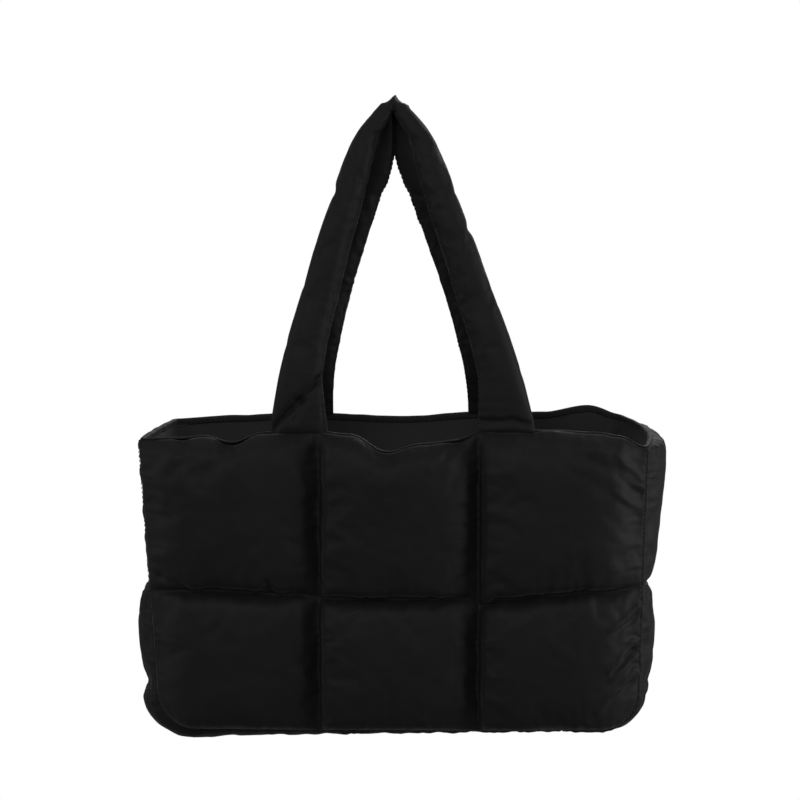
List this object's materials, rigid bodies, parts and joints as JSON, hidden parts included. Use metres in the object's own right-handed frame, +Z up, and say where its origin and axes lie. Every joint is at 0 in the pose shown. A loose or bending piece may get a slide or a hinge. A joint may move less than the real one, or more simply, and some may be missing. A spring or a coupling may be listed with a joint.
{
  "type": "puffer tote bag",
  "caption": "Soft rectangular tote with quilted padded walls, an open top and padded handles, hanging from a hook.",
  "frame": {"origin": "the point under the top of the handles' fold where a hook carries both handles", "axes": "+Z up, -Y towards the front of the bag, +X to the right seen from the front"},
  "size_m": [0.4366, 0.1738, 0.5341],
  "materials": {
    "shell": "matt black woven nylon with a faint sheen",
    "lining": "plain black polyester taffeta"
  },
  "bodies": {
    "root": {"front_panel": "shell", "back_panel": "shell", "right_gusset": "shell", "base_pad": "shell", "left_gusset": "shell", "hem": "shell", "lining": "lining", "front_handle": "shell", "back_handle": "shell"}
  },
  "joints": []
}
